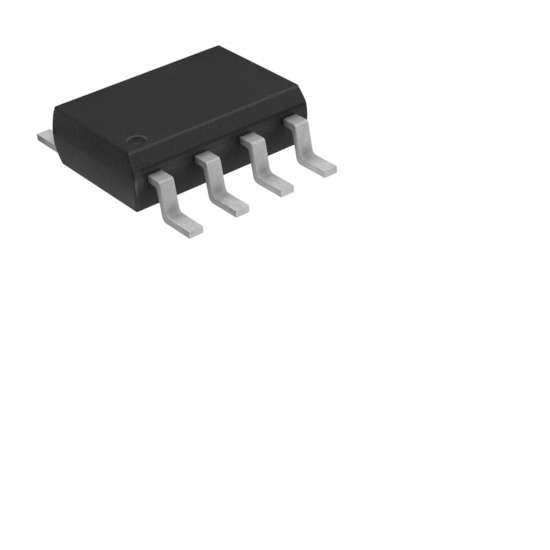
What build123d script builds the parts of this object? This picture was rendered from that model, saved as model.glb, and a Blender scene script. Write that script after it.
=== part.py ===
from build123d import *
from math import atan2, cos, degrees, hypot, radians, sqrt, tan
import os

# Eight-lead surface-mount driver chip with an exposed heat pad, in millimetres.
# Z is up from the board, X runs along the moulding and Y across its two rows of leads.
# Pin 1 is at -X -Y, and the pins are counted anticlockwise as seen from above.

# Moulding
body_length = 4.9
body_width = 3.37
top_height = 1.56
standoff = 0.08
end_top_inset = 0.068
end_bottom_inset = 0.076
side_top_inset = 0.10
side_bottom_inset = 0.165
corner_radius = 0.065
top_edge_radius = 0.035
bottom_edge_radius = 0.055

# Bevel along the top edge on the side of pin 1
bevel_width = 0.09
bevel_drop = 0.405

# Pin 1 mark, a shallow round dish in the top face
mark_radius = 0.235
mark_depth = 0.05
mark_end_inset = 0.462
mark_side_inset = 0.36

# Lead frame, one stamped sheet
frame_thickness = 0.18
frame_top = 0.985
pins_per_side = 4
lead_spacing = 1.27
lead_width = 0.38
lead_span = 6.2
shoulder_length = 0.44
shank_angle = 10.0
shoulder_outer_radius = 0.08
shoulder_inner_radius = 0.08
foot_inner_radius = 0.13
heel_radius = 0.15
tip_edge_radius = 0.015

# Inner ends of the leads, inside the moulding
wing_width = 0.66
wing_length = 0.30
wing_cover = 0.12
wing_corner_radius = 0.05
lock_hole_radius = 0.1
tip_width = 0.34
tip_gap = 0.38

# Die paddle, whose underside is the exposed heat pad
pad_length = 2.36
pad_width = 2.36
pad_standoff = 0.05
pad_corner_radius = 0.03
ledge_reach = 0.14
ledge_thickness = 0.09
tie_bar_width = 0.34
tie_bar_cover = 0.06
tie_bar_angle = 50.0
tie_bar_run = 0.12
tie_bar_radius = 0.06

# Silicon die and the adhesive under it
die_length = 1.72
die_width = 1.26
die_thickness = 0.25
glue_thickness = 0.03
glue_margin = 0.06

# Bond wires, one from the die to each lead, in short straight runs with flats for the round section
wire_diameter = 0.05
wire_flats = 8
ball_diameter = 0.11
ball_height = 0.045
bond_inset = 0.13
bond_spacing = 0.42
loop_height = 0.26
loop_kink = 0.06
tail_length = 0.07
stitch_length = 0.10
stitch_width = 0.09
stitch_height = 0.04
stitch_inset = 0.11

# Values worked out from the driving dimensions
half_length = body_length / 2
half_width = body_width / 2
frame_bottom = frame_top - frame_thickness
parting_height = frame_top - frame_thickness / 2
paddle_top = pad_standoff + frame_thickness
die_bottom = paddle_top + glue_thickness
die_top = die_bottom + die_thickness
shank_reach = half_width + shoulder_length
row_half = lead_spacing * (pins_per_side - 1) / 2
beyond = max(body_length, lead_span)


def wall_half(half, inset, height):
    """Half the moulding's size at a height above the parting plane, on its upper arc."""
    rise = top_height - parting_height
    radius = (rise**2 + inset**2) / (2 * inset)
    return half - radius + sqrt(radius**2 - (height - parting_height) ** 2)


def wall_outline(half, top_inset, bottom_inset):
    """Section of the moulding: each wall is two arcs that meet upright at the parting plane."""
    high, low = half - top_inset, half - bottom_inset
    edges = [Line((-low, standoff), (low, standoff)), Line((high, top_height), (-high, top_height))]
    for side in (1, -1):
        ridge = (side * half, parting_height)
        edges.append(TangentArc(ridge, (side * high, top_height), tangent=(0, 1)))
        edges.append(TangentArc(ridge, (side * low, standoff), tangent=(0, -1)))
    return make_face(edges)


def bevel_cutter():
    """Wedge that takes the top edge off along the side of pin 1."""
    crease_height = top_height - bevel_drop
    edge = -(half_width - side_top_inset - bevel_width)
    crease = -wall_half(half_width, side_top_inset, crease_height)
    slope = (edge - crease) / bevel_drop
    above = (edge + slope * bevel_drop, top_height + bevel_drop)
    below = (crease - slope * bevel_drop, crease_height - bevel_drop)
    outside = -half_width - bevel_drop
    wedge = make_face(Polyline(above, below, (outside, below[1]), (outside, above[1]), close=True))
    return extrude(Plane.YZ * wedge, beyond, both=True)


def moulding_block():
    """Outer form of the moulding, before the room for what it holds is taken out."""
    across = extrude(Plane.YZ * wall_outline(half_width, side_top_inset, side_bottom_inset), beyond, both=True)
    along = extrude(Plane.XZ * wall_outline(half_length, end_top_inset, end_bottom_inset), beyond, both=True)
    block = across & along
    uprights = block.edges().filter_by(lambda edge: edge.bounding_box().size.Z > corner_radius)
    block = fillet(uprights, corner_radius) - bevel_cutter()
    block = fillet(block.faces().sort_by(Axis.Z)[-1].edges(), top_edge_radius)
    block = fillet(block.faces().sort_by(Axis.Z)[0].edges(), bottom_edge_radius)
    return block


def pin_mark(block):
    """The block with the dish that marks pin 1 cut in its top face."""
    sphere_radius = (mark_radius**2 + mark_depth**2) / (2 * mark_depth)
    mark_x = -(half_length - end_top_inset - mark_end_inset)
    mark_y = -(half_width - side_top_inset - bevel_width - mark_side_inset)
    return block - Pos(mark_x, mark_y, top_height - mark_depth + sphere_radius) * Sphere(sphere_radius)


def lead_outside():
    """Gull-wing part of a lead that reaches towards +Y, from inside the moulding to its tip."""
    start = half_width - wing_cover
    slope = tan(radians(shank_angle))
    back_shift = frame_thickness / cos(radians(shank_angle))

    def front(height):
        return shank_reach + slope * (frame_top - height)

    def back(height):
        return front(height) - back_shift

    tip = lead_span / 2
    points = [
        (start, frame_bottom),
        (back(frame_bottom), frame_bottom),
        (back(0), 0),
        (tip, 0),
        (tip, frame_thickness),
        (front(frame_thickness), frame_thickness),
        (shank_reach, frame_top),
        (start, frame_top),
    ]
    radii = [shoulder_inner_radius, heel_radius, tip_edge_radius, tip_edge_radius]
    radii += [foot_inner_radius, shoulder_outer_radius]
    outline = FilletPolyline(*points, radius=radii)
    section = make_face([*outline.edges(), Line(points[-1], points[0])])
    return extrude(Plane.YZ * section, lead_width / 2, both=True)


def lead_inside(pin_x):
    """Flat inner end of the same lead: a wing that locks in the moulding, and an arm to the die."""
    wing_place = Pos(pin_x, half_width - wing_cover - wing_length / 2)
    outward = 1 if pin_x > 0 else -1
    outer_pin = abs(pin_x) > lead_spacing
    tip_x = outward * (die_length / 2 + tip_gap) if outer_pin else pin_x
    tip_y = die_width / 2 + tip_width / 2 + (0 if outer_pin else tip_gap)
    wing = wing_place * RectangleRounded(wing_width, wing_length, wing_corner_radius)
    arm_end = Circle(tip_width / 2)
    arm = make_hull([*(wing_place * arm_end).edges(), *(Pos(tip_x, tip_y) * arm_end).edges()])
    hole = wing_place * Circle(lock_hole_radius)
    flat = Pos(0, 0, frame_bottom) * extrude(wing + arm - hole, frame_thickness)
    return flat, (tip_x, tip_y + stitch_inset)


def lead(pin_x):
    """One lead of the +Y row, and the point on it where its bond wire lands."""
    inside, landing = lead_inside(pin_x)
    return Pos(pin_x, 0, 0) * lead_outside() + inside, landing


def tie_bar():
    """Strip from the paddle up to the lead frame's plane, ending just short of the +X end face."""
    start = pad_length / 2
    foot = start + ledge_reach + tie_bar_run
    head = foot + (frame_top - paddle_top) / tan(radians(tie_bar_angle))
    end = wall_half(half_length, end_top_inset, frame_top) - tie_bar_cover
    mitre = ledge_thickness * tan(radians(tie_bar_angle) / 2)
    points = [
        (start, paddle_top - ledge_thickness),
        (foot + mitre, paddle_top - ledge_thickness),
        (head + mitre, frame_top - ledge_thickness),
        (end, frame_top - ledge_thickness),
        (end, frame_top),
        (head, frame_top),
        (foot, paddle_top),
        (start, paddle_top),
    ]
    radii = [tie_bar_radius, tie_bar_radius, 0, 0, tie_bar_radius, tie_bar_radius]
    outline = FilletPolyline(*points, radius=radii)
    section = make_face([*outline.edges(), Line(points[-1], points[0])])
    return extrude(Plane.XZ * section, tie_bar_width / 2, both=True)


def paddle():
    """Heat pad, the ledge round its upper face that locks it in, and its two tie bars."""
    pad = extrude(RectangleRounded(pad_length, pad_width, pad_corner_radius), frame_thickness)
    ledge_size = (pad_length + 2 * ledge_reach, pad_width + 2 * ledge_reach)
    ledge = extrude(RectangleRounded(*ledge_size, pad_corner_radius), ledge_thickness)
    plate = Pos(0, 0, pad_standoff) * pad + Pos(0, 0, paddle_top - ledge_thickness) * ledge
    bar = tie_bar()
    return plate + bar + mirror(bar, Plane.YZ)


def die():
    """Sawn silicon die."""
    return Pos(0, 0, die_bottom) * extrude(Rectangle(die_length, die_width), die_thickness)


def glue():
    """Adhesive under the die, squeezed out a little round it."""
    foot = Pos(0, 0, paddle_top) * Rectangle(die_length + 2 * glue_margin, die_width + 2 * glue_margin)
    head = Pos(0, 0, die_bottom) * Rectangle(die_length, die_width)
    return loft([foot, head])


def wire_section(diameter, height):
    """Level section of a wire or of its ball, with a flat towards the lead."""
    return Pos(0, 0, height) * RegularPolygon(diameter / 2, wire_flats, False, 180 / wire_flats)


def bond_wire(bond_x, bond_y, landing):
    """Squeezed ball on the die, loop, and the wedge-shaped stitch on the lead, for a lead of the +Y row."""
    run_x, run_y = landing[0] - bond_x, landing[1] - bond_y
    run = hypot(run_x, run_y)
    neck = die_top + ball_height
    level = frame_top + wire_diameter / 2
    stitch_start = run - stitch_length / 2
    crest = frame_top + loop_height
    path = Polyline(
        (0, neck),
        (0, crest - loop_kink),
        (loop_kink, crest),
        (stitch_start - tail_length, level),
        (run, level),
    )
    tube = sweep(wire_section(wire_diameter, neck), path=Plane.XZ * path, transition=Transition.RIGHT)
    ball = loft([wire_section(ball_diameter, die_top), wire_section(wire_diameter, neck)])
    heel, toe = (stitch_start, frame_top), (stitch_start + stitch_length, frame_top)
    wedge = make_face(Polyline(heel, toe, (stitch_start, frame_top + stitch_height), close=True))
    stitch = extrude(Plane.XZ * wedge, stitch_width / 2, both=True)
    turn = degrees(atan2(run_y, run_x))
    return Pos(bond_x, bond_y, 0) * Rot(0, 0, turn) * (ball + tube + stitch)


def build():
    """Every piece of the chip by name."""
    pieces = {}
    for row, turn in (("front", Rot(0, 0, 180)), ("back", Rot(0, 0, 0))):
        for place in range(pins_per_side):
            pin_x = row_half - place * lead_spacing
            pin = place + 1 if row == "front" else place + 1 + pins_per_side
            bond_x = pin_x / lead_spacing * bond_spacing
            metal, landing = lead(pin_x)
            pieces[f"lead_{pin}"] = turn * metal
            pieces[f"bond_wire_{pin}"] = turn * bond_wire(bond_x, die_width / 2 - bond_inset, landing)
    pieces["die_paddle"] = paddle()
    pieces["die_attach"] = glue()
    pieces["silicon_die"] = die()
    body = pin_mark(moulding_block())
    for piece in pieces.values():
        body = body - piece
    pieces["mold_body"] = body
    return pieces


os.makedirs("parts", exist_ok=True)
for name, piece in sorted(build().items()):
    export_step(piece, f"parts/{name}.step")
    print(name, len(piece.solids()), round(piece.volume, 5), piece.is_valid)
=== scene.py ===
# Looks of an eight-lead driver chip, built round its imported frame.
# Sizes in the dictionaries are in millimetres and degrees, and a finished mesh is scaled to metres.
import math

import bmesh
import bpy
from mathutils import Matrix, Vector
from mathutils.geometry import delaunay_2d_cdt


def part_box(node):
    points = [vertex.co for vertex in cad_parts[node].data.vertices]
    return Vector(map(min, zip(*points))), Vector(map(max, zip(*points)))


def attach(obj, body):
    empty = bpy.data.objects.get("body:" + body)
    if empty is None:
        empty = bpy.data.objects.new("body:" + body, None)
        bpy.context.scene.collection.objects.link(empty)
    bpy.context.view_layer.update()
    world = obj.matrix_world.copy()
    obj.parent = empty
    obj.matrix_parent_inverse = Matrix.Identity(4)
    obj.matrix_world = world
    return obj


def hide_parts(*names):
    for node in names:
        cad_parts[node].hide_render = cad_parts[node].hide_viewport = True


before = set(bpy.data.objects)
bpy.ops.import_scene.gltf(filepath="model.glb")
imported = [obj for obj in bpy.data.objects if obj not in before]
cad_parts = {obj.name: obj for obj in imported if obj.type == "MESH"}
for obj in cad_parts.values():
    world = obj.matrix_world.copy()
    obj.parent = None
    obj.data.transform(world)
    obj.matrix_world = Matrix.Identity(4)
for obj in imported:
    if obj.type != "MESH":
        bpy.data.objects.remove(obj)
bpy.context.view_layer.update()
mm = 0.001
pinsPerSide = 4
quarterTurn = math.pi / 2
halfTurn = math.pi
print("frame loaded,", len(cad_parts), "nodes")


def cornersOf(node):
    low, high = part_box(node)
    return low / mm, high / mm


def middleX(node):
    low, high = cornersOf(node)
    return (low.x + high.x) / 2


# what the frame says of the chip's main sizes
bodyLow, bodyHigh = cornersOf("mold_body")
paddleLow, paddleHigh = cornersOf("die_paddle")
dieHigh = cornersOf("silicon_die")[1]
leadHigh = cornersOf("lead_6")[1]
leadSpacing = middleX("lead_6") - middleX("lead_7")
sheetTop = leadHigh.z

# what more than one piece is shaped by
shared = {
    "sheetThickness": 0.18,
    "padSide": 2.36,
    "padCorner": 0.03,
}

meshing = {
    "boxCornerSteps": 6,
    "insideOnly": 1,         # the triangulation keeps only what its outlines hold
    "capMerge": 1e-7,
    "plateMerge": 1e-6,
    "weldGap": 1e-6,
    "normalWeight": 90,
}


# outlines run anticlockwise, and a rounded loop also says which way its edge faces at each point

def anglesTo(end, steps):
    return [end * step / steps for step in range(steps + 1)]


def roundedLoop(corners, radii, steps):
    loop = []
    for place, corner in enumerate(corners):
        before, after = corners[place - 1], corners[(place + 1) % len(corners)]
        wayIn, wayOut = (corner - before).normalized(), (after - corner).normalized()
        turn = -wayIn.angle_signed(wayOut)
        side = math.copysign(1, turn)
        start = corner - wayIn * radii[place] * math.tan(abs(turn) / 2)
        centre = start + Vector((-wayIn.y, wayIn.x)) * radii[place] * side
        for angle in anglesTo(turn, steps):
            way = Matrix.Rotation(angle, 2) @ wayIn
            facing = Vector((way.y, -way.x))
            loop.append((centre + facing * radii[place] * side, facing))
    return loop


def boxCorners(halfX, halfY):
    return [Vector(c) for c in ((-halfX, -halfY), (halfX, -halfY), (halfX, halfY), (-halfX, halfY))]


def roundedBoxPoints(halfX, halfY, radius):
    loop = roundedLoop(boxCorners(halfX, halfY), [radius] * 4, meshing["boxCornerSteps"])
    return [point for point, facing in loop]


def pointAt(centre, radius, angle):
    return centre + Vector((math.cos(angle), math.sin(angle))) * radius


def circlePoints(centre, radius, count):
    return [pointAt(centre, radius, 2 * math.pi * step / count) for step in range(count)]


# mesh work, on one bmesh for each piece

def levelRing(build, points, height):
    return [build.verts.new((*point, height)) for point in points]


def joinRings(build, rings):
    for lower, upper in zip(rings, rings[1:]):
        for place in range(len(lower)):
            after = (place + 1) % len(lower)
            build.faces.new((lower[place], lower[after], upper[after], upper[place]))


def triangulate(flat, loops, merge):
    points, _, triangles, origins, _, inside = delaunay_2d_cdt(flat, [], loops, meshing["insideOnly"], merge)
    return points, triangles, origins, inside


def capBetween(build, outer, inner):
    verts = outer + inner
    loops = [list(range(len(outer))), list(range(len(outer), len(verts)))]
    _, triangles, origins, inside = triangulate([vert.co.xy for vert in verts], loops, meshing["capMerge"])
    for triangle, loopsRound in zip(triangles, inside):
        if loopsRound == [0]:
            build.faces.new([verts[origins[corner][0]] for corner in triangle])


def flatPlate(build, solids, holes, low, high):
    flat, loops = [], []
    for outline in solids + holes:
        loops.append(list(range(len(flat), len(flat) + len(outline))))
        flat += outline
    points, triangles, _, inside = triangulate(flat, loops, meshing["plateMerge"])
    kept = [t for t, found in zip(triangles, inside) if max(found) < len(solids)]
    used = sorted({corner for triangle in kept for corner in triangle})
    under = {corner: build.verts.new((*points[corner], low)) for corner in used}
    above = {corner: build.verts.new((*points[corner], high)) for corner in used}
    edges = {(t[i], t[(i + 1) % 3]) for t in kept for i in range(3)}
    for triangle in kept:
        build.faces.new([above[corner] for corner in triangle])
        build.faces.new([under[corner] for corner in reversed(triangle)])
    for start, end in edges:
        if (end, start) not in edges:
            build.faces.new((under[start], under[end], above[end], above[start]))


def finishPiece(build, name, material, nodes, turn=0.0):
    bmesh.ops.remove_doubles(build, verts=build.verts, dist=meshing["weldGap"])
    build.transform(Matrix.Rotation(turn, 4, "Z") @ Matrix.Scale(mm, 4))
    bmesh.ops.recalc_face_normals(build, faces=build.faces)
    mesh = bpy.data.meshes.new(name)
    build.to_mesh(mesh)
    build.free()
    mesh.shade_smooth()
    piece = bpy.data.objects.new(name, mesh)
    bpy.context.scene.collection.objects.link(piece)
    mesh.materials.append(material)
    even = piece.modifiers.new("evenNormals", "WEIGHTED_NORMAL")
    even.weight, even.keep_sharp = meshing["normalWeight"], True
    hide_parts(*nodes)
    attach(piece, "root")
    print(name, "has", len(mesh.polygons), "faces")


# shader helpers

def nodeIn(tree, kind, **settings):
    node = tree.nodes.new("ShaderNode" + kind)
    for key, value in settings.items():
        setattr(node, key, value)
    return node


def feed(tree, value, target):
    # links an output, and sets a plain number, colour or vector as it is
    if isinstance(value, bpy.types.NodeSocket):
        tree.links.new(value, target)
    else:
        target.default_value = value


def newMaterial(name):
    material = bpy.data.materials.new(name)
    material.use_nodes = True
    tree = material.node_tree
    return material, tree, tree.nodes["Principled BSDF"]


def mathNode(tree, operation, *values):
    node = nodeIn(tree, "Math", operation=operation)
    for target, value in zip(node.inputs, values):
        feed(tree, value, target)
    return node.outputs[0]


def vectorNode(tree, operation, result, *values):
    node = nodeIn(tree, "VectorMath", operation=operation)
    for target, value in zip(node.inputs, values):
        feed(tree, value, target)
    return node.outputs[result]


def scaled(tree, colour, factor):
    node = nodeIn(tree, "VectorMath", operation="SCALE")
    feed(tree, colour, node.inputs[0])
    feed(tree, factor, node.inputs["Scale"])
    return node.outputs["Vector"]


def combine(tree, operation, values):
    total = values[0]
    for value in values[1:]:
        total = mathNode(tree, operation, total, value)
    return total


def oneMinus(tree, value):
    return mathNode(tree, "SUBTRACT", 1.0, value)


def gapFrom(tree, value, place):
    return mathNode(tree, "ABSOLUTE", mathNode(tree, "SUBTRACT", value, place))


def lengthOf(tree, gaps):
    squares = [mathNode(tree, "MULTIPLY", gap, gap) for gap in gaps]
    return mathNode(tree, "SQRT", mathNode(tree, "ADD", *squares))


def spread(tree, value, fromLow, fromHigh, toLow, toHigh):
    node = nodeIn(tree, "MapRange", interpolation_type="SMOOTHSTEP")
    feed(tree, value, node.inputs["Value"])
    for key, number in zip(("From Min", "From Max", "To Min", "To Max"), (fromLow, fromHigh, toLow, toHigh)):
        node.inputs[key].default_value = number
    return node.outputs["Result"]


def rising(tree, value, base, zone, low=0.0, high=1.0):
    # low before the zone and high past it; the zone's ends are millimetres from its base
    start, end = zone
    return spread(tree, value, (base + start) * mm, (base + end) * mm, low, high)


def falling(tree, value, base, zone):
    return rising(tree, value, base, zone, 1.0, 0.0)


def placeIn(tree):
    # the place on the piece, whole and as its x, y and z
    place = nodeIn(tree, "TexCoord").outputs["Object"]
    parts = nodeIn(tree, "SeparateXYZ")
    feed(tree, place, parts.inputs["Vector"])
    return place, [parts.outputs[axis] for axis in "XYZ"]


# fine grain, shared by every finish: a value round a half, and a height for bump

grain = {
    "usual": {"Grain Size": 0.03, "Patch Size": 0.6, "Patch Share": 0.3},
    "fineDetail": 3.0,
    "patchDetail": 2.0,
    "toneFrom": 0.35,        # the grain's values at the dark and at the pale colour
    "toneTo": 0.65,
    "roughFrom": 0.3,
    "roughTo": 0.7,
}


def grainGroup():
    group = bpy.data.node_groups.new("fineGrain", "ShaderNodeTree")
    for name, usual in grain["usual"].items():
        socket = group.interface.new_socket(name=name, in_out="INPUT", socket_type="NodeSocketFloat")
        socket.default_value = usual
    for name in ("Tone", "Height"):
        group.interface.new_socket(name=name, in_out="OUTPUT", socket_type="NodeSocketFloat")
    given, result = group.nodes.new("NodeGroupInput"), group.nodes.new("NodeGroupOutput")
    place = nodeIn(group, "TexCoord").outputs["Object"]

    def noiseAt(size, detail):
        noise = nodeIn(group, "TexNoise", noise_dimensions="3D")
        noise.inputs["Detail"].default_value = detail
        feed(group, place, noise.inputs["Vector"])
        feed(group, mathNode(group, "DIVIDE", 1 / mm, size), noise.inputs["Scale"])
        return noise.outputs["Fac"]

    fine = noiseAt(given.outputs["Grain Size"], grain["fineDetail"])
    patch = noiseAt(given.outputs["Patch Size"], grain["patchDetail"])
    mixed = nodeIn(group, "Mix", data_type="FLOAT")
    feed(group, given.outputs["Patch Share"], mixed.inputs["Factor"])
    feed(group, fine, mixed.inputs["A"])
    feed(group, patch, mixed.inputs["B"])
    feed(group, mixed.outputs["Result"], result.inputs["Tone"])
    feed(group, fine, result.inputs["Height"])
    return group


fineGrain = grainGroup()


def addGrain(tree, grainSize, patchSize, patchShare):
    node = nodeIn(tree, "Group", node_tree=fineGrain)
    node.inputs["Grain Size"].default_value = grainSize
    node.inputs["Patch Size"].default_value = patchSize
    node.inputs["Patch Share"].default_value = patchShare
    return node.outputs["Tone"], node.outputs["Height"]


def addBump(tree, shader, height, depth, strength):
    bump = nodeIn(tree, "Bump")
    bump.inputs["Strength"].default_value = strength
    bump.inputs["Distance"].default_value = depth * mm
    feed(tree, height, bump.inputs["Height"])
    feed(tree, bump.outputs["Normal"], shader.inputs["Normal"])


def toneRamp(tree, tone, dark, pale):
    node = nodeIn(tree, "ValToRGB")
    feed(tree, tone, node.inputs["Fac"])
    first, last = node.color_ramp.elements
    first.position, last.position = grain["toneFrom"], grain["toneTo"]
    first.color, last.color = (*dark, 1), (*pale, 1)
    return node.outputs["Color"]


def addRoughness(tree, shader, tone, low, high):
    rough = spread(tree, tone, grain["roughFrom"], grain["roughTo"], low, high)
    feed(tree, rough, shader.inputs["Roughness"])


# moulded body

moulding = {
    "endTopInset": 0.068,
    "endBottomInset": 0.076,
    "sideTopInset": 0.10,
    "sideBottomInset": 0.165,
    "cornerRadius": 0.065,
    "rightCornerRadius": 0.035,
    "leastRadius": 0.004,
    "backCornerChange": 0.03,
    "backCornerReach": 0.25,
    "topEdge": 0.035,
    "bottomEdge": 0.055,
    "bevelWidth": 0.09,
    "bevelDrop": 0.405,
    "bevelCorner": 0.012,
    "farBevelCorner": 0.12,
    "leastBevelCorner": 0.002,
    "bevelCornerShare": 0.8,   # the most that it takes of the upright corner's radius
    "creaseHalf": 0.006,
    "markRadius": 0.215,
    "markDepth": 0.05,
    "markRim": 0.03,
    "markFillet": 0.03,
    "markSlope": 52.0,
    "markEndInset": 0.468,
    "markSideInset": 0.394,
    "padGroove": 0.014,
    "padGrooveDepth": 0.03,
    "padGrooveLip": 0.01,
    "cornerSteps": 12,
    "sideSteps": 16,
    "edgeSteps": 8,
    "lipSteps": 3,
    "wallStep": 0.06,
    "markSteps": 64,
}

parting = sheetTop - shared["sheetThickness"] / 2
creaseHeight = bodyHigh.z - moulding["bevelDrop"]
bevelTop = -bodyHigh.y + moulding["sideTopInset"] + moulding["bevelWidth"]
endTop = -bodyHigh.x + moulding["endTopInset"]
markCentre = Vector((endTop + moulding["markEndInset"], bevelTop + moulding["markSideInset"]))


def wallHalf(half, height, topInset, bottomInset):
    # half the body's size at a height: an arc that stands upright at the parting line, then a rounded edge
    above = height > parting
    rise = abs((bodyHigh.z if above else bodyLow.z) - parting)
    inset = topInset if above else bottomInset
    edge = moulding["topEdge"] if above else moulding["bottomEdge"]
    arc = (rise ** 2 + inset ** 2) / (2 * inset)
    away, edgeAway = abs(height - parting), rise - edge
    if away <= edgeAway * arc / (arc - edge):
        return half - arc + math.sqrt(arc ** 2 - away ** 2)
    edgeHalf = half - arc + math.sqrt((arc - edge) ** 2 - edgeAway ** 2)
    return edgeHalf + math.sqrt(max(edge ** 2 - (away - edgeAway) ** 2, 0))


def endHalf(height):
    return wallHalf(bodyHigh.x, height, moulding["endTopInset"], moulding["endBottomInset"])


def sideHalf(height):
    return wallHalf(bodyHigh.y, height, moulding["sideTopInset"], moulding["sideBottomInset"])


def bevelHalf(height):
    # half the body's width on the bevel, with the same rounded edge above it
    edge = moulding["topEdge"]
    start = bodyHigh.y - moulding["sideTopInset"] - moulding["bevelWidth"]
    slope = math.atan((sideHalf(creaseHeight) - start) / moulding["bevelDrop"])
    edgeHeight = bodyHigh.z - edge
    if height <= edgeHeight + edge * math.sin(slope):
        return start + math.tan(slope) * (bodyHigh.z - height)
    edgeHalf = start + math.tan(slope) * edge - edge / math.cos(slope)
    return edgeHalf + math.sqrt(max(edge ** 2 - (height - edgeHeight) ** 2, 0))


def cornerPoints(halfX, halfY, front, trim, radius, bevelCorner=0.0):
    # rounded corner at -X -Y, from the end wall to the front; a bevel cuts it if front is less than halfY
    big = max(radius - trim, moulding["leastRadius"])
    small = max(bevelCorner - trim, moulding["leastBevelCorner"])
    small = min(small, moulding["bevelCornerShare"] * big)
    reach = (front - small - (halfY - big)) / (big - small)
    bend = math.asin(min(1, max(0, reach)))
    bigCentre = Vector((-halfX + big, -halfY + big))
    smallCentre = Vector((-halfX + big - (big - small) * math.cos(bend), -front + small))
    points = []
    for angle in anglesTo(quarterTurn, moulding["cornerSteps"]):
        facing = Vector((-math.cos(angle), -math.sin(angle)))
        onBig = angle < bend or front >= halfY
        points.append((bigCentre if onBig else smallCentre) + facing * (big if onBig else small))
    return points


def bodyRing(height):
    halfX, halfY = endHalf(height), sideHalf(height)
    upper = height > parting
    edge = moulding["topEdge"] if upper else moulding["bottomEdge"]
    limit = bodyHigh.z - edge if upper else bodyLow.z + edge
    past = min(max(height - limit if upper else limit - height, 0), edge)
    trim = edge - math.sqrt(edge ** 2 - past ** 2)
    front = min(halfY, bevelHalf(height)) if upper else halfY
    crisp, soft = moulding["bevelCorner"], moulding["farBevelCorner"]
    up = max(0, 1 - (bodyHigh.z - height) / moulding["bevelDrop"])
    radius, rightRadius = moulding["cornerRadius"], moulding["rightCornerRadius"]
    nearLeft = cornerPoints(halfX, halfY, front, trim, radius, crisp)
    nearRight = cornerPoints(halfX, halfY, front, trim, rightRadius + (soft - rightRadius) * up,
                             crisp + (soft - crisp) * up)
    nearRight = [Vector((-point.x, point.y)) for point in reversed(nearRight)]
    farRight = [-point for point in cornerPoints(halfX, halfY, halfY, trim, radius)]
    # the corner at -X +Y is rounder above the parting line than below it
    share = min(1, max(-1, (height - parting) / moulding["backCornerReach"]))
    backRadius = radius + moulding["backCornerChange"] * share
    farLeft = [Vector((point.x, -point.y)) for point in cornerPoints(halfX, halfY, halfY, trim, backRadius)]
    farLeft.reverse()
    ring = []
    corners = (nearLeft, nearRight, farRight, farLeft)
    for place, corner in enumerate(corners):
        after = corners[(place + 1) % len(corners)][0]
        pieces = moulding["sideSteps"]
        ring += corner + [corner[-1].lerp(after, step / pieces) for step in range(1, pieces)]
    return ring


def bodyHeights():
    top, bottom, crisp = moulding["topEdge"], moulding["bottomEdge"], moulding["creaseHalf"]
    angles = anglesTo(quarterTurn, moulding["edgeSteps"])
    heights = [bodyLow.z + bottom * (1 - math.sin(angle)) for angle in reversed(angles)]
    upper = [bodyHigh.z - top * (1 - math.sin(angle)) for angle in angles]
    for mark in (parting, creaseHeight - crisp, creaseHeight, creaseHeight + crisp, upper[0]):
        start = heights[-1]
        pieces = max(1, round((mark - start) / moulding["wallStep"]))
        heights += [start + (mark - start) * step / pieces for step in range(1, pieces + 1)]
    return heights + upper[1:]


def pinMark(build):
    # flat dish with a rounded rim and a sloping wall; gives back its outermost ring
    depth, rim, fillet = moulding["markDepth"], moulding["markRim"], moulding["markFillet"]
    slope, outer = math.radians(moulding["markSlope"]), moulding["markRadius"]
    straight = depth - (rim + fillet) * (1 - math.cos(slope))
    inner = outer - (rim + fillet) * math.sin(slope) - straight / math.tan(slope)
    angles = anglesTo(slope, moulding["edgeSteps"])
    profile = [(outer - rim * math.sin(a), bodyHigh.z - rim * (1 - math.cos(a))) for a in angles]
    for a in reversed(angles):
        profile.append((inner + fillet * math.sin(a), bodyHigh.z - depth + fillet * (1 - math.cos(a))))
    rings = []
    for radius, height in profile:
        rings.append(levelRing(build, circlePoints(markCentre, radius, moulding["markSteps"]), height))
    joinRings(build, rings)
    last = rings[-1]
    middle = build.verts.new((*markCentre, bodyHigh.z - depth))
    for place, vert in enumerate(last):
        build.faces.new((vert, last[(place + 1) % len(last)], middle))
    return rings[0]


def padGroove(build):
    # shallow groove that the heat pad stands in; gives back its outermost ring
    lip, gap = moulding["padGrooveLip"], moulding["padGroove"]
    half, corner = shared["padSide"] / 2 + gap, shared["padCorner"] + gap
    profile = []
    for angle in anglesTo(quarterTurn, moulding["lipSteps"]):
        profile.append((lip * (1 - math.sin(angle)), bodyLow.z + lip * (1 - math.cos(angle))))
    profile.append((0, bodyLow.z + moulding["padGrooveDepth"]))
    rings = []
    for out, height in profile:
        rings.append(levelRing(build, roundedBoxPoints(half + out, half + out, corner + out), height))
    joinRings(build, rings)
    build.faces.new(rings[-1])
    return rings[0]


def buildBody(material):
    build = bmesh.new()
    rings = [levelRing(build, bodyRing(height), height) for height in bodyHeights()]
    joinRings(build, rings)
    capBetween(build, rings[-1], pinMark(build))
    capBetween(build, rings[0], padGroove(build))
    finishPiece(build, "mouldedBody", material, ["mold_body"])


# leads

leadForm = {
    "width": 0.38,
    "shoulder": 0.44,
    "shankAngle": 10.0,
    "shoulderOuter": 0.08,
    "shoulderInner": 0.08,
    "footInner": 0.13,
    "heel": 0.15,
    "tipEdge": 0.02,
    "stampEdge": 0.016,
    "bendSteps": 8,
    "edgeSteps": 4,
    "wingWidth": 0.66,
    "wingLength": 0.30,
    "wingCover": 0.12,
    "wingCorner": 0.05,
    "lockHole": 0.1,
    "holeSteps": 24,
    "fingerWidth": 0.34,
    "fingerGap": 0.38,
    "fingerSteps": 12,
}


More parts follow.
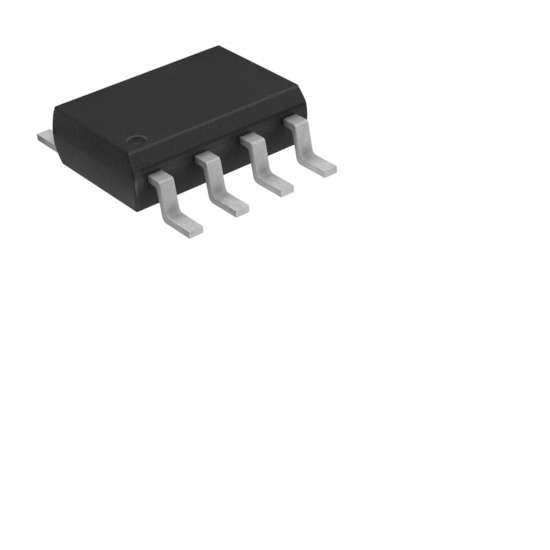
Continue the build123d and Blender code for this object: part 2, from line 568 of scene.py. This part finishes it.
def bentStrip(build, corners, radii, width, place):
    # a strip of the lead frame; its outline goes down the inner end, out along the underside and back over
    # the top, so the first corner is across the sheet from the second, the last from the third, and so on
    steps, stamp = leadForm["bendSteps"], leadForm["stampEdge"]
    loop = roundedLoop(corners, radii, steps)
    sections = []
    for angle in reversed(anglesTo(quarterTurn, leadForm["edgeSteps"])):
        sections.append((-width / 2 + stamp * (1 - math.sin(angle)), stamp * (1 - math.cos(angle))))
    sections += [(-across, inset) for across, inset in reversed(sections)]
    rings = []
    for across, inset in sections:
        points = [point - facing * inset for point, facing in loop]
        rings.append([build.verts.new(place @ Vector((across, point.x, point.y))) for point in points])
    joinRings(build, rings)
    perCorner = steps + 1
    lowerEnd = perCorner * (len(corners) // 2 + 1)
    for ring in (rings[0], rings[-1]):
        lower = ring[perCorner:lowerEnd]
        upper = list(reversed(ring[lowerEnd:] + ring[:perCorner]))
        for step in range(len(lower) - 1):
            build.faces.new((lower[step], lower[step + 1], upper[step + 1], upper[step]))


def leadCorners():
    # side outline of the part outside the body: how far out, and how high
    thick, reach = shared["sheetThickness"], bodyHigh.y + leadForm["shoulder"]
    lean = math.tan(math.radians(leadForm["shankAngle"]))
    back = thick / math.cos(math.radians(leadForm["shankAngle"]))
    start, under = bodyHigh.y - leadForm["wingCover"], sheetTop - thick

    def front(height):
        return reach + lean * (sheetTop - height)

    corners = [(start, sheetTop), (start, under), (front(under) - back, under), (front(0) - back, 0)]
    corners += [(leadHigh.y, 0), (leadHigh.y, thick), (front(thick), thick), (reach, sheetTop)]
    edge = leadForm["tipEdge"]
    radii = [edge, edge, leadForm["shoulderInner"], leadForm["heel"], edge, edge]
    radii += [leadForm["footInner"], leadForm["shoulderOuter"]]
    return [Vector(corner) for corner in corners], radii


def fingerOutlines(pinX):
    # flat inner end: a wing that locks in the body, and a finger towards the die
    wingY = bodyHigh.y - leadForm["wingCover"] - leadForm["wingLength"] / 2
    middle, half = Vector((pinX, wingY)), leadForm["fingerWidth"] / 2
    outer = abs(pinX) > leadSpacing
    tip = Vector((pinX, dieHigh.y + half + leadForm["fingerGap"]))
    if outer:
        tip = Vector((math.copysign(dieHigh.x + leadForm["fingerGap"], pinX), dieHigh.y + half))
    wing = roundedBoxPoints(leadForm["wingWidth"] / 2, leadForm["wingLength"] / 2, leadForm["wingCorner"])
    way = math.atan2(tip.y - middle.y, tip.x - middle.x)
    finger = []
    for centre, start in ((middle, way + quarterTurn), (tip, way - quarterTurn)):
        for angle in anglesTo(halfTurn, leadForm["fingerSteps"]):
            finger.append(pointAt(centre, half, start + angle))
    hole = circlePoints(middle, leadForm["lockHole"], leadForm["holeSteps"])
    return [[middle + point for point in wing], finger], [hole]


def buildLead(pin, material):
    back = pin > pinsPerSide
    place = (pin - 1) % pinsPerSide
    pinX = leadSpacing * ((pinsPerSide - 1) / 2 - place)
    build = bmesh.new()
    bentStrip(build, *leadCorners(), leadForm["width"], Matrix.Translation((pinX, 0, 0)))
    solids, holes = fingerOutlines(pinX)
    flatPlate(build, solids, holes, sheetTop - shared["sheetThickness"], sheetTop)
    finishPiece(build, f"lead{pin}", material, [f"lead_{pin}"], 0 if back else halfTurn)


# heat pad and die paddle

paddleForm = {
    "padEdge": 0.008,
    "padEdgeSteps": 3,
    "ledge": 0.14,
    "ledgeThickness": 0.09,
    "barWidth": 0.34,
    "barAngle": 50.0,
    "barRun": 0.12,
    "barBend": 0.06,
}


def paddlePlate(build):
    half, corner, edge = shared["padSide"] / 2, shared["padCorner"], paddleForm["padEdge"]
    low, high = paddleLow.z, paddleLow.z + shared["sheetThickness"]
    ledgeHeight, ledge = high - paddleForm["ledgeThickness"], paddleForm["ledge"]
    profile = []
    for angle in anglesTo(quarterTurn, paddleForm["padEdgeSteps"]):
        profile.append((-edge * (1 - math.sin(angle)), low + edge * (1 - math.cos(angle))))
    profile += [(0, ledgeHeight), (ledge, ledgeHeight), (ledge, high)]
    rings = []
    for out, height in profile:
        outline = roundedBoxPoints(half + out, half + out, corner + min(out, 0))
        rings.append(levelRing(build, outline, height))
    joinRings(build, rings)
    build.faces.new(rings[0])
    build.faces.new(rings[-1])


def tieBar(build, turn):
    start, top = shared["padSide"] / 2, paddleLow.z + shared["sheetThickness"]
    thick, angle = paddleForm["ledgeThickness"], math.radians(paddleForm["barAngle"])
    foot = start + paddleForm["ledge"] + paddleForm["barRun"]
    head = foot + (sheetTop - top) / math.tan(angle)
    mitre, under = thick * math.tan(angle / 2), sheetTop - thick
    corners = [(start, top), (start, top - thick), (foot + mitre, top - thick), (head + mitre, under)]
    corners += [(paddleHigh.x, under), (paddleHigh.x, sheetTop), (head, sheetTop), (foot, top)]
    bend, edge = paddleForm["barBend"], leadForm["tipEdge"]
    radii = [edge, edge, bend, bend, edge, edge, bend, bend]
    sheet = [Vector(corner) for corner in corners]
    bentStrip(build, sheet, radii, paddleForm["barWidth"], Matrix.Rotation(turn, 4, "Z"))


def buildPaddle(material):
    build = bmesh.new()
    paddlePlate(build)
    for turn in (quarterTurn, -quarterTurn):
        tieBar(build, turn)
    finishPiece(build, "heatPad", material, ["die_paddle"])


# moulding compound: painted shade and painted highlights over its faces, each a factor of 1 where it does
# nothing

compound = {
    "dark": (0.0025, 0.0025, 0.0027),
    "pale": (0.0165, 0.0165, 0.0169),
    # painted shade along the crease under the bevel, wider towards pin 4
    "crease": 0.62,          # how much of the tone is left on the line under the bevel
    "creaseReach": 0.06,
    "creaseRight": 0.70,     # and on its wider part towards pin 4
    "creaseRightReach": 0.21,
    # painted highlights on the bevel's end by pin 1 and the upright corner under it
    "bevelCorner": 2.6,      # the bevel's end by pin 1, and the front wall's corner under it
    "frontCorner": 4.0,
    "cornerReach": 0.05,
    # painted light and painted shade on the front wall
    "wallTop": 3.5,          # the front wall: high between the leads, low, by its corner and at its right end
    "wallBottom": 0.55,
    "wallCorner": 3.0,
    "wallRight": 0.84,
    # painted light and painted shade on the end walls and the top's back corners
    "lowerHalf": 0.90,       # the ends, below and above the ridge at the parting line
    "upperHalf": 0.60,
    "ridgeReach": 0.06,
    "underRidge": 1.9,
    "overRidge": 0.88,
    "endCorner": 2.6,        # the ends' upper and lower halves towards pin 1
    "endFoot": 0.40,
    "backCorner": 0.80,
    # painted highlight on the top's front edge and painted shade on its left edge
    "frontEdge": 4.6,        # the top's front and left edges
    "leftEdge": 0.66,
    "edgeReach": 0.065,
    # painted shade on the pin 1 dish's far wall and floor, a painted highlight on its rim, and a painted
    # glint
    "dishWall": 0.66,
    "dishFloor": 0.75,
    "dishRim": 7.0,
    "dishGlint": 8.0,
    "roughLow": 0.26,
    "roughHigh": 0.42,
    "grainSize": 0.05,
    "patchSize": 0.9,
    "patchShare": 0.15,
    "bumpDepth": 0.020,
    "bumpStrength": 0.6,
}

# where each tone begins and ends, in millimetres from what its note names
bodyZones = {
    "lineCore": 0.2,                   # share of a line's reach that has its full tone
    "creaseLeft": (-0.04, 0.25),       # the top's left end
    "underCrease": (-0.02, 0.02),      # the crease's height
    "underBevel": (-0.04, 0.0),
    "clearOfCrease": (-0.26, -0.11),
    "wallHigh": -0.06,
    "wallLow": -0.5,                   # the parting line
    "underRidge": (-0.35, 0.0),
    "overRidge": (0.0, 0.25),
    "frontWall": (0.08, 0.14),         # the crease's line, backwards
    "behindFront": (-0.01, 0.05),
    "endWall": (-0.03, 0.02),          # the top's ends, outwards
    "besideCorner": (0.05, 0.35),      # the top's left end
    "cornerLeft": (0.0, 0.2),
    "cornerBand": (0.3, 1.4),          # shares of the corner's reach
    "cornerSlip": 0.03,
    "bevelSlip": 0.008,
    "wallRight": (-0.6, -0.25),        # the body's right end
    "wallLeftPart": -0.2,
    "backCorner": (-0.4, -0.1),        # the body's back
    "towardsFront": 0.9,               # share of the body's half width
    "underTop": (-0.06, -0.02),        # the top
    "betweenLeads": (0.10, 0.27),      # in lead spacings from a lead's middle
}

creaseFront = -sideHalf(creaseHeight)


def maskShade(tree, masks, level):
    # a factor: level where every mask is 1, and 1 where any of them is 0
    mask = combine(tree, "MULTIPLY", masks)
    return mathNode(tree, "ADD", mathNode(tree, "MULTIPLY", mask, level - 1), 1.0)


def lineShade(tree, first, firstAt, second, secondAt, reach, level):
    # a factor: level on a straight line along the body, and 1 at its reach from it
    pairs = ((first, firstAt), (second, secondAt))
    gaps = [mathNode(tree, "SUBTRACT", value, place * mm) for value, place in pairs]
    return rising(tree, lengthOf(tree, gaps), 0.0, (bodyZones["lineCore"] * reach, reach), level, 1.0)


def slantLine(tree, parts, low, high, reach):
    # a mask: 1 on the line through two points, and 0 at its reach from it
    gaps = []
    for axis in (0, 1):
        slope = (high[axis] - low[axis]) / (high.z - low.z)
        onLine = mathNode(tree, "MULTIPLY_ADD", parts[2], slope, (low[axis] - slope * low.z) * mm)
        gaps.append(mathNode(tree, "SUBTRACT", parts[axis], onLine))
    return falling(tree, lengthOf(tree, gaps), 0.0, (bodyZones["lineCore"] * reach, reach))


def fromLeadMiddle(tree, x):
    # 0 in the middle of a lead and a half between two, in lead spacings
    share = mathNode(tree, "FRACT", mathNode(tree, "DIVIDE", x, leadSpacing * mm))
    return gapFrom(tree, share, 0.5)


def cornerBand(tree, x, y, z):
    # a mask: 1 down the upright corner beside pin 1, with the walls' arcs allowed for
    rise, reach = parting - bodyLow.z, compound["cornerReach"]
    depth = mathNode(tree, "DIVIDE", mathNode(tree, "SUBTRACT", z, parting * mm), rise * mm)
    arcs = (moulding["sideBottomInset"] - moulding["endBottomInset"]) * mm
    drift = mathNode(tree, "MULTIPLY", mathNode(tree, "MULTIPLY", depth, depth), arcs)
    offset = combine(tree, "ADD", [mathNode(tree, "SUBTRACT", x, y), drift])
    offset = mathNode(tree, "ADD", offset, (bodyHigh.x - bodyHigh.y - bodyZones["cornerSlip"]) * mm)
    start, end = bodyZones["cornerBand"]
    band = falling(tree, mathNode(tree, "ABSOLUTE", offset), 0.0, (start * reach, end * reach))
    return mathNode(tree, "MULTIPLY", band, falling(tree, x, endTop, bodyZones["cornerLeft"]))


def creaseShades(tree, x, y, z):
    # painted shade factors: the line under the bevel, its wider right part, and the wall's right end
    def nearCrease(reach):
        return oneMinus(tree, lineShade(tree, y, creaseFront, z, creaseHeight, reach, 0.0))

    fromEnd = rising(tree, x, endTop, bodyZones["creaseLeft"])
    rightPart = rising(tree, x, 0.0, (-leadSpacing, bodyHigh.x))
    rightEnd = rising(tree, x, bodyHigh.x, bodyZones["wallRight"])
    onWall = falling(tree, y, creaseFront, bodyZones["frontWall"])
    under = falling(tree, z, creaseHeight, bodyZones["underCrease"])
    line, wider = nearCrease(compound["creaseReach"]), nearCrease(compound["creaseRightReach"])
    return [
        maskShade(tree, [line, fromEnd], compound["crease"]),
        maskShade(tree, [wider, rightPart, under], compound["creaseRight"]),
        maskShade(tree, [rightEnd, onWall, under], compound["wallRight"]),
    ]


def bevelShades(tree, x, y, z):
    # painted highlight factors: the top's front edge, and the bevel's end by pin 1
    slip = bodyZones["bevelSlip"]
    foot = Vector((slip - endHalf(creaseHeight), slip - sideHalf(creaseHeight), creaseHeight))
    head = Vector((endTop + slip, bevelTop + slip, bodyHigh.z))
    onCorner = slantLine(tree, (x, y, z), foot, head, compound["cornerReach"])
    over = oneMinus(tree, falling(tree, z, creaseHeight, bodyZones["underCrease"]))
    return [
        lineShade(tree, y, bevelTop, z, bodyHigh.z, compound["edgeReach"], compound["frontEdge"]),
        maskShade(tree, [onCorner, over], compound["bevelCorner"]),
    ]


def onEnds(tree, x, y):
    # a mask: 1 on the two end walls, and 0 on the top, the front wall and its bevel
    ends = rising(tree, mathNode(tree, "ABSOLUTE", x), -endTop, bodyZones["endWall"])
    return mathNode(tree, "MULTIPLY", ends, rising(tree, y, creaseFront, bodyZones["behindFront"]))


def endShades(tree, ends, y, z):
    # painted light and painted shade factors of the end walls, and the painted shade of the top's back
    # corners
    ridge = (-compound["ridgeReach"], compound["ridgeReach"])
    halves = rising(tree, z, parting, ridge, compound["lowerHalf"], compound["upperHalf"])
    halves = mathNode(tree, "MULTIPLY", mathNode(tree, "SUBTRACT", halves, 1.0), ends)
    upper = rising(tree, z, parting, ridge)
    lower = oneMinus(tree, upper)
    toCorner = falling(tree, y, 0.0, (-bodyZones["towardsFront"] * bodyHigh.y, 0.0))
    underRidge = rising(tree, z, parting, bodyZones["underRidge"])
    overRidge = falling(tree, z, parting, bodyZones["overRidge"])
    toBack = rising(tree, y, bodyHigh.y, bodyZones["backCorner"])
    underTop = falling(tree, z, bodyHigh.z, bodyZones["underTop"])
    pale = [
        mathNode(tree, "ADD", halves, 1.0),
        maskShade(tree, [ends, lower, underRidge], compound["underRidge"]),
        maskShade(tree, [ends, upper, toCorner], compound["endCorner"]),
        maskShade(tree, [ends, lower, toCorner], compound["endFoot"]),
    ]
    dark = [
        maskShade(tree, [ends, upper, overRidge], compound["overRidge"]),
        maskShade(tree, [upper, toBack, underTop], compound["backCorner"]),
    ]
    return pale, dark


def wallShades(tree, ends, x, y, z):
    # painted light and shade on the front wall, palest between the leads under the bevel and by pin 1's
    # corner
    onWall = falling(tree, y, creaseFront, bodyZones["frontWall"])
    underBevel = falling(tree, z, creaseHeight, bodyZones["underBevel"])
    onWall = combine(tree, "MULTIPLY", [onWall, underBevel, oneMinus(tree, ends)])
    high = rising(tree, z, 0.0, (parting + bodyZones["wallLow"], creaseHeight + bodyZones["wallHigh"]))
    low = oneMinus(tree, high)
    between = spread(tree, fromLeadMiddle(tree, x), *bodyZones["betweenLeads"], 0.0, 1.0)
    leftPart = falling(tree, x, 0.0, (-leadSpacing / 2, bodyHigh.x + bodyZones["wallLeftPart"]))
    clearOfCrease = falling(tree, z, creaseHeight, bodyZones["clearOfCrease"])
    besideCorner = falling(tree, x, endTop, bodyZones["besideCorner"])
    return [
        maskShade(tree, [onWall, high, clearOfCrease, between, leftPart], compound["wallTop"]),
        maskShade(tree, [onWall, low], compound["wallBottom"]),
        maskShade(tree, [cornerBand(tree, x, y, z), low], compound["frontCorner"]),
        maskShade(tree, [onWall, besideCorner], compound["wallCorner"]),
    ]


dishZones = {
    "far": (0.605, 0.796),             # the way to the dish's far side
    "farHalf": (-0.4, 0.3),            # shares of the radius, from the dish's middle to its far side
    "farFloor": (-0.35, 0.3),
    "wall": (0.010, 0.024),            # depths under the top
    "floor": (0.030, 0.0497),
    "rimTop": (0.009, 0.020),
    "rimShare": 3,                     # the rim's pale line lies a third of the rim inside the radius
    "rimBand": (0.016, 0.040),
    "glintFar": 0.055,                 # the glint is part of a ring, with its middle past the dish's
    "glintLeft": 0.005,
    "glintRadius": 0.113,
    "glintBand": (0.008, 0.026),
    "glintNear": (-0.045, -0.015),
}


def dishShades(tree, place, height):
    # painted shade on the far wall and floor; painted highlights on the far rim, and a short painted glint on
    # the floor
    top, radius, rim = bodyHigh.z, moulding["markRadius"], moulding["markRim"]
    far = Vector(dishZones["far"])
    fromMark = vectorNode(tree, "DISTANCE", "Value", place, Vector((*markCentre, top)) * mm)
    depth = mathNode(tree, "SUBTRACT", top * mm, height)
    along = vectorNode(tree, "DOT_PRODUCT", "Value", place, (*far, 0))
    beyond = mathNode(tree, "SUBTRACT", along, far.dot(markCentre) * mm)
    near = falling(tree, fromMark, radius, (rim, 2 * rim))
    farHalf = rising(tree, beyond, 0.0, [share * radius for share in dishZones["farHalf"]])
    farFloor = rising(tree, beyond, 0.0, [share * radius for share in dishZones["farFloor"]])
    wall = rising(tree, depth, 0.0, dishZones["wall"])
    onFloor = rising(tree, depth, 0.0, dishZones["floor"])
    darkWall = maskShade(tree, [wall, oneMinus(tree, onFloor), near, farHalf], compound["dishWall"])
    darkFloor = maskShade(tree, [onFloor, near, farFloor], compound["dishFloor"])
    onRim = gapFrom(tree, fromMark, (radius - rim / dishZones["rimShare"]) * mm)
    rimBand = falling(tree, onRim, 0.0, dishZones["rimBand"])
    rimTop = falling(tree, depth, 0.0, dishZones["rimTop"])
    left = Vector((-far.y, far.x))
    glintMiddle = markCentre + far * dishZones["glintFar"] + left * dishZones["glintLeft"]
    glintMiddle = Vector((*glintMiddle, top - moulding["markDepth"])) * mm
    fromGlint = vectorNode(tree, "DISTANCE", "Value", place, glintMiddle)
    onGlint = gapFrom(tree, fromGlint, dishZones["glintRadius"] * mm)
    glint = falling(tree, onGlint, 0.0, dishZones["glintBand"])
    nearSide = falling(tree, beyond, 0.0, dishZones["glintNear"])
    pale = [
        maskShade(tree, [rimBand, rimTop, farHalf], compound["dishRim"]),
        maskShade(tree, [glint, nearSide], compound["dishGlint"]),
    ]
    return pale, mathNode(tree, "MULTIPLY", darkWall, darkFloor)


def compoundFinish():
    material, tree, shader = newMaterial("mouldCompound")
    tone, height = addGrain(tree, compound["grainSize"], compound["patchSize"], compound["patchShare"])
    colour = toneRamp(tree, tone, compound["dark"], compound["pale"])
    place, (x, y, z) = placeIn(tree)
    ends = onEnds(tree, x, y)
    dishPale, dishDark = dishShades(tree, place, z)
    endPale, endDark = endShades(tree, ends, y, z)
    # painted shade along the top's left edge, joined to the other painted shade
    leftEdge = lineShade(tree, x, endTop, z, bodyHigh.z, compound["edgeReach"], compound["leftEdge"])
    darkness = combine(tree, "MULTIPLY", creaseShades(tree, x, y, z) + [leftEdge, dishDark] + endDark)
    pale = dishPale + bevelShades(tree, x, y, z) + endPale + wallShades(tree, ends, x, y, z)
    level = combine(tree, "MULTIPLY", pale + [darkness])
    # painted shade keeps the grain's contrast, and painted light adds the middle tone without it
    middle = (Vector(compound["dark"]) + Vector(compound["pale"])) / 2
    kept = scaled(tree, colour, mathNode(tree, "MINIMUM", level, 1.0))
    added = scaled(tree, middle, mathNode(tree, "MAXIMUM", mathNode(tree, "SUBTRACT", level, 1.0), 0.0))
    feed(tree, vectorNode(tree, "ADD", "Vector", kept, added), shader.inputs["Base Color"])
    # painted shade takes the shine away too, which a dark metal gives
    feed(tree, oneMinus(tree, darkness), shader.inputs["Metallic"])
    addRoughness(tree, shader, tone, compound["roughLow"], compound["roughHigh"])
    addBump(tree, shader, height, compound["bumpDepth"], compound["bumpStrength"])
    return material


# tin of the leads and the heat pad

tin = {
    "dark": (0.49, 0.49, 0.493),
    "pale": (0.70, 0.70, 0.703),
    "roughLow": 0.50,
    "roughHigh": 0.60,
    "metallic": 0.30,
    # painted shade on the stamped sides and the end, with painted light on the sides towards pin 4
    "cutShank": 0.99,        # the stamped sides at the shank and at the foot's tip, and the end
    "cutFoot": 0.46,
    "cutEnd": 0.93,
    "cutShoulder": 0.80,
    "cutRight": 1.50,        # more tone on those sides from pin 1 to pin 4, and less on the ends
    "endRight": 0.80,
    # painted shade on the shoulder where it leaves the body, and painted light further out
    "nearBody": 0.52,        # the shoulder where it leaves the body, and further out
    "shoulder": 1.06,
    # and painted light towards the foot's tip
    # painted highlights on the outer bend and the side edges, painted shade in the inner bend and at the
    # heel,
    "outerBend": 1.20,
    "edgeHighlight": 1.12,
    "innerBend": 0.76,
    "footHeel": 0.97,
    "footTip": 1.30,
    "grainSize": 0.028,
    "leadPatch": 0.5,
    "padPatch": 0.8,
    "patchShare": 0.3,
    "bumpDepth": 0.003,
    "bumpStrength": 0.5,
}

# where each tone begins and ends, in millimetres from what its note names
leadZones = {
    "sideFace": (0.95, 0.985),         # shares of half the lead's width
    "edgeHighlight": 0.92,
    "edgeBand": (0.02, 0.09),
    "innerMiddle": 0.2,
    "endFace": (-0.012, -0.004),       # the tip
    "footTip": -0.3,
    "pastShoulder": (-0.08, 0.06),     # the shoulder's reach
    "shoulderRoot": -0.20,
    "outerBend": -0.02,                # the shoulder's reach, and the sheet's top
    "outerBendReach": 0.045,
    "innerBend": 0.08,                 # the foot's top
    "innerBendReach": 0.28,
    "footHeel": 0.04,                  # the heel
}


def leadShade(tree):
    # painted tone over a lead: painted shade on the cut faces, shoulder root and inner bend, painted
    # highlights on the outer bend and tip
    _, (x, y, z) = placeIn(tree)
    out, across = mathNode(tree, "ABSOLUTE", y), fromLeadMiddle(tree, x)
    half = leadForm["width"] / 2 / leadSpacing
    reach, tip = bodyHigh.y + leadForm["shoulder"], leadHigh.y
    heel = reach + math.tan(math.radians(leadForm["shankAngle"])) * sheetTop
    side = spread(tree, across, *(half * share for share in leadZones["sideFace"]), 0.0, 1.0)
    end = rising(tree, out, tip, leadZones["endFace"])
    cut = rising(tree, out, 0.0, (reach, tip), tin["cutShank"] - 1, tin["cutFoot"] - 1)
    past = rising(tree, out, reach, leadZones["pastShoulder"])
    toRight = rising(tree, x, 0.0, (bodyLow.x, bodyHigh.x))
    lastPins = rising(tree, x, 0.0, (0.0, bodyHigh.x))
    shoulderRun = (bodyHigh.y, reach + leadZones["shoulderRoot"])
    bendAt, bendReach = leadZones["outerBend"], leadZones["outerBendReach"]
    edge = gapFrom(tree, across, leadZones["edgeHighlight"] * half)
    edge = spread(tree, edge, *(share * half for share in leadZones["edgeBand"]), 1.0, 0.0)
    innerHeight = shared["sheetThickness"] + leadZones["innerBend"]
    inner = oneMinus(tree, lineShade(tree, out, heel, z, innerHeight, leadZones["innerBendReach"], 0.0))
    middle = spread(tree, across, leadZones["innerMiddle"] * half, half, 1.0, 0.0)
    footRun = (heel + leadZones["footHeel"], tip + leadZones["footTip"])
    return combine(tree, "MULTIPLY", [
        mathNode(tree, "ADD", mathNode(tree, "MULTIPLY", cut, side), 1.0),
        maskShade(tree, [end], tin["cutEnd"]),
        maskShade(tree, [side, oneMinus(tree, past)], tin["cutShoulder"]),
        maskShade(tree, [side, past, toRight], tin["cutRight"]),
        maskShade(tree, [end, lastPins], tin["endRight"]),
        rising(tree, out, 0.0, shoulderRun, tin["nearBody"], tin["shoulder"]),
        lineShade(tree, out, reach + bendAt, z, sheetTop + bendAt, bendReach, tin["outerBend"]),
        maskShade(tree, [edge], tin["edgeHighlight"]),
        maskShade(tree, [inner, middle], tin["innerBend"]),
        rising(tree, out, 0.0, footRun, tin["footHeel"], tin["footTip"]),
    ])


def tinFinish(name, patchSize, onLead=False):
    material, tree, shader = newMaterial(name)
    tone, height = addGrain(tree, tin["grainSize"], patchSize, tin["patchShare"])
    colour = toneRamp(tree, tone, tin["dark"], tin["pale"])
    # the leads get painted shade and painted highlights over their tin
    if onLead:
        colour = scaled(tree, colour, leadShade(tree))
    feed(tree, colour, shader.inputs["Base Color"])
    shader.inputs["Metallic"].default_value = tin["metallic"]
    addRoughness(tree, shader, tone, tin["roughLow"], tin["roughHigh"])
    addBump(tree, shader, height, tin["bumpDepth"], tin["bumpStrength"])
    return material


buildBody(compoundFinish())
leadTin = tinFinish("leadTin", tin["leadPatch"], True)
for pin in range(1, 2 * pinsPerSide + 1):
    buildLead(pin, leadTin)
buildPaddle(tinFinish("padTin", tin["padPatch"]))


# what the body hides keeps its shapes from the frame and gets finishes of its own

hidden = {
    "silicon": {
        "nodes": ["silicon_die"],
        "dark": (0.05, 0.055, 0.07),
        "pale": (0.09, 0.10, 0.12),
        "metallic": 0.4,
        "rough": 0.25,
        "grainSize": 0.04,
    },
    "silverEpoxy": {
        "nodes": ["die_attach"],
        "dark": (0.35, 0.35, 0.34),
        "pale": (0.6, 0.6, 0.58),
        "metallic": 0.6,
        "rough": 0.55,
        "grainSize": 0.02,
    },
    "goldWire": {
        "nodes": [f"bond_wire_{pin}" for pin in range(1, 2 * pinsPerSide + 1)],
        "dark": (0.80, 0.58, 0.22),
        "pale": (0.92, 0.70, 0.32),
        "metallic": 1.0,
        "rough": 0.22,
        "grainSize": 0.01,
    },
}

hiddenGrain = {
    "patchTimes": 12,        # a patch's size in grains
    "patchShare": 0.4,
    "roughMore": 0.15,
    "bumpDepth": 0.001,
    "bumpStrength": 0.4,
}


def hiddenFinish(name, look):
    material, tree, shader = newMaterial(name)
    size, rough = look["grainSize"], look["rough"]
    tone, height = addGrain(tree, size, size * hiddenGrain["patchTimes"], hiddenGrain["patchShare"])
    feed(tree, toneRamp(tree, tone, look["dark"], look["pale"]), shader.inputs["Base Color"])
    shader.inputs["Metallic"].default_value = look["metallic"]
    addRoughness(tree, shader, tone, rough, rough + hiddenGrain["roughMore"])
    addBump(tree, shader, height, hiddenGrain["bumpDepth"], hiddenGrain["bumpStrength"])
    return material


for name, look in hidden.items():
    material = hiddenFinish(name, look)
    for node in look["nodes"]:
        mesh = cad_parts[node].data
        mesh.materials.clear()
        mesh.materials.append(material)
print("finishes done")


# floor, light and camera

# a lobe is its way, its strength and, on the floor, how narrow it is
studio = {
    "floorRadius": 400.0,
    "floorSides": 96,
    "white": 1.0,
    "skySharpness": 3.0,
    "skyLobes": [
        ((0, 0, 1), 0.773),
        ((-0.7, 0.7, 0.9), 1.045),
        ((0.7, -0.7, 0.15), 0.785),
        ((1, 0, 0.9), 0.708),
    ],
    "floorReach": 6.0,
    "floorSoftness": 4.0,
    "underHalf": 2.6,
    "underSoftness": 1.0,
    "floorUnder": 0.42,
    "closeHalf": 3.4,
    "closeSoftness": 1.0,
    "floorClose": [((-1, 0.5, 0), 0.17, 2.0), ((-0.8, -0.6, 0), 0.50, 10.0)],
    "floorNear": [
        ((-1, 0.2, 0), 0.21, 2.0),
        ((1, 0, 0), 0.441, 2.0),
        ((0.15, -1, 0), 0.86, 2.0),
        ((0, 1, 0), 0.115, 2.0),
    ],
    "floorFar": [((0.15, -1, 0), 1.40, 2.0), ((0, 1, 0), 0.895, 2.0)],
}

camera = {
    "place": (-17.7587, -26.6261, 17.3473),
    "right": (0.776359, -0.628614, -0.045945),
    "down": (-0.373811, -0.400525, -0.836567),
    "focalPixels": 1543.29,
    "picturePixels": 550,
    "sensor": 36.0,
    "clipNear": 0.5,
    "clipFar": 5000.0,
}


def lobe(tree, way, toward, strength, sharpness):
    # light that is strongest one way and fades to nothing a quarter turn from it
    along = vectorNode(tree, "DOT_PRODUCT", "Value", way, Vector(toward).normalized())
    facing = mathNode(tree, "MAXIMUM", along, 0.0)
    return mathNode(tree, "MULTIPLY", mathNode(tree, "POWER", facing, sharpness), strength)


def whiteToCamera(tree, level):
    # plain white to the camera, and its own level to whatever it lights
    strength = nodeIn(tree, "Mix", data_type="FLOAT")
    feed(tree, nodeIn(tree, "LightPath").outputs["Is Camera Ray"], strength.inputs["Factor"])
    feed(tree, level, strength.inputs["A"])
    strength.inputs["B"].default_value = studio["white"]
    return strength.outputs["Result"]


def floorLevel(tree):
    # how brightly the floor lights the chip from each place: under it, close to it, near it and far from it
    place, (x, y, _) = placeIn(tree)
    away, way = vectorNode(tree, "LENGTH", "Value", place), vectorNode(tree, "NORMALIZE", "Vector", place)

    def softly(softness):
        return -softness / 2, softness / 2

    def inSquare(half, softness):
        sides = [falling(tree, mathNode(tree, "ABSOLUTE", side), half, softly(softness)) for side in (x, y)]
        return combine(tree, "MULTIPLY", sides)

    far = rising(tree, away, studio["floorReach"], softly(studio["floorSoftness"]))
    under = inSquare(studio["underHalf"], studio["underSoftness"])
    outside = oneMinus(tree, under)
    close = inSquare(studio["closeHalf"], studio["closeSoftness"])
    shares = {
        "floorClose": mathNode(tree, "MULTIPLY", close, outside),
        "floorNear": mathNode(tree, "MULTIPLY", oneMinus(tree, far), outside),
        "floorFar": far,
    }
    levels = [mathNode(tree, "MULTIPLY", under, studio["floorUnder"])]
    for key, share in shares.items():
        for toward, strength, sharpness in studio[key]:
            light = lobe(tree, way, toward, strength, sharpness)
            levels.append(mathNode(tree, "MULTIPLY", light, share))
    return combine(tree, "ADD", levels)


def buildFloor():
    build = bmesh.new()
    bmesh.ops.create_circle(build, cap_ends=True, radius=studio["floorRadius"] * mm,
                            segments=studio["floorSides"])
    mesh = bpy.data.meshes.new("floor")
    build.to_mesh(mesh)
    build.free()
    floor = bpy.data.objects.new("floor", mesh)
    bpy.context.scene.collection.objects.link(floor)
    material, tree, _ = newMaterial("paleFloor")
    tree.nodes.clear()
    glow, oneSided = nodeIn(tree, "Emission"), nodeIn(tree, "MixShader")
    feed(tree, whiteToCamera(tree, floorLevel(tree)), glow.inputs["Strength"])
    feed(tree, nodeIn(tree, "NewGeometry").outputs["Backfacing"], oneSided.inputs[0])
    feed(tree, glow.outputs[0], oneSided.inputs[1])
    feed(tree, nodeIn(tree, "BsdfTransparent").outputs[0], oneSided.inputs[2])
    feed(tree, oneSided.outputs[0], nodeIn(tree, "OutputMaterial").inputs["Surface"])
    mesh.materials.append(material)


def buildSky():
    world = bpy.data.worlds.new("studio")
    bpy.context.scene.world = world
    world.use_nodes = True
    tree = world.node_tree
    tree.nodes.clear()
    way = nodeIn(tree, "TexCoord").outputs["Generated"]
    lobes = [lobe(tree, way, *skyLobe, studio["skySharpness"]) for skyLobe in studio["skyLobes"]]
    sky = nodeIn(tree, "Background")
    feed(tree, whiteToCamera(tree, combine(tree, "ADD", lobes)), sky.inputs["Strength"])
    feed(tree, sky.outputs[0], nodeIn(tree, "OutputWorld").inputs["Surface"])


def placeCamera():
    data = bpy.data.cameras.new("view")
    data.sensor_width = camera["sensor"]
    data.lens = camera["sensor"] * camera["focalPixels"] / camera["picturePixels"]
    data.clip_start, data.clip_end = camera["clipNear"] * mm, camera["clipFar"] * mm
    seat = bpy.data.objects.new("view", data)
    right, up = Vector(camera["right"]), -Vector(camera["down"])
    turn = Matrix((right, up, right.cross(up))).transposed()
    seat.matrix_world = Matrix.Translation(Vector(camera["place"]) * mm) @ turn.to_4x4()
    bpy.context.scene.collection.objects.link(seat)
    bpy.context.scene.camera = seat


buildFloor()
buildSky()
placeCamera()
bpy.context.scene.view_settings.view_transform = "Standard"
print("stage done")
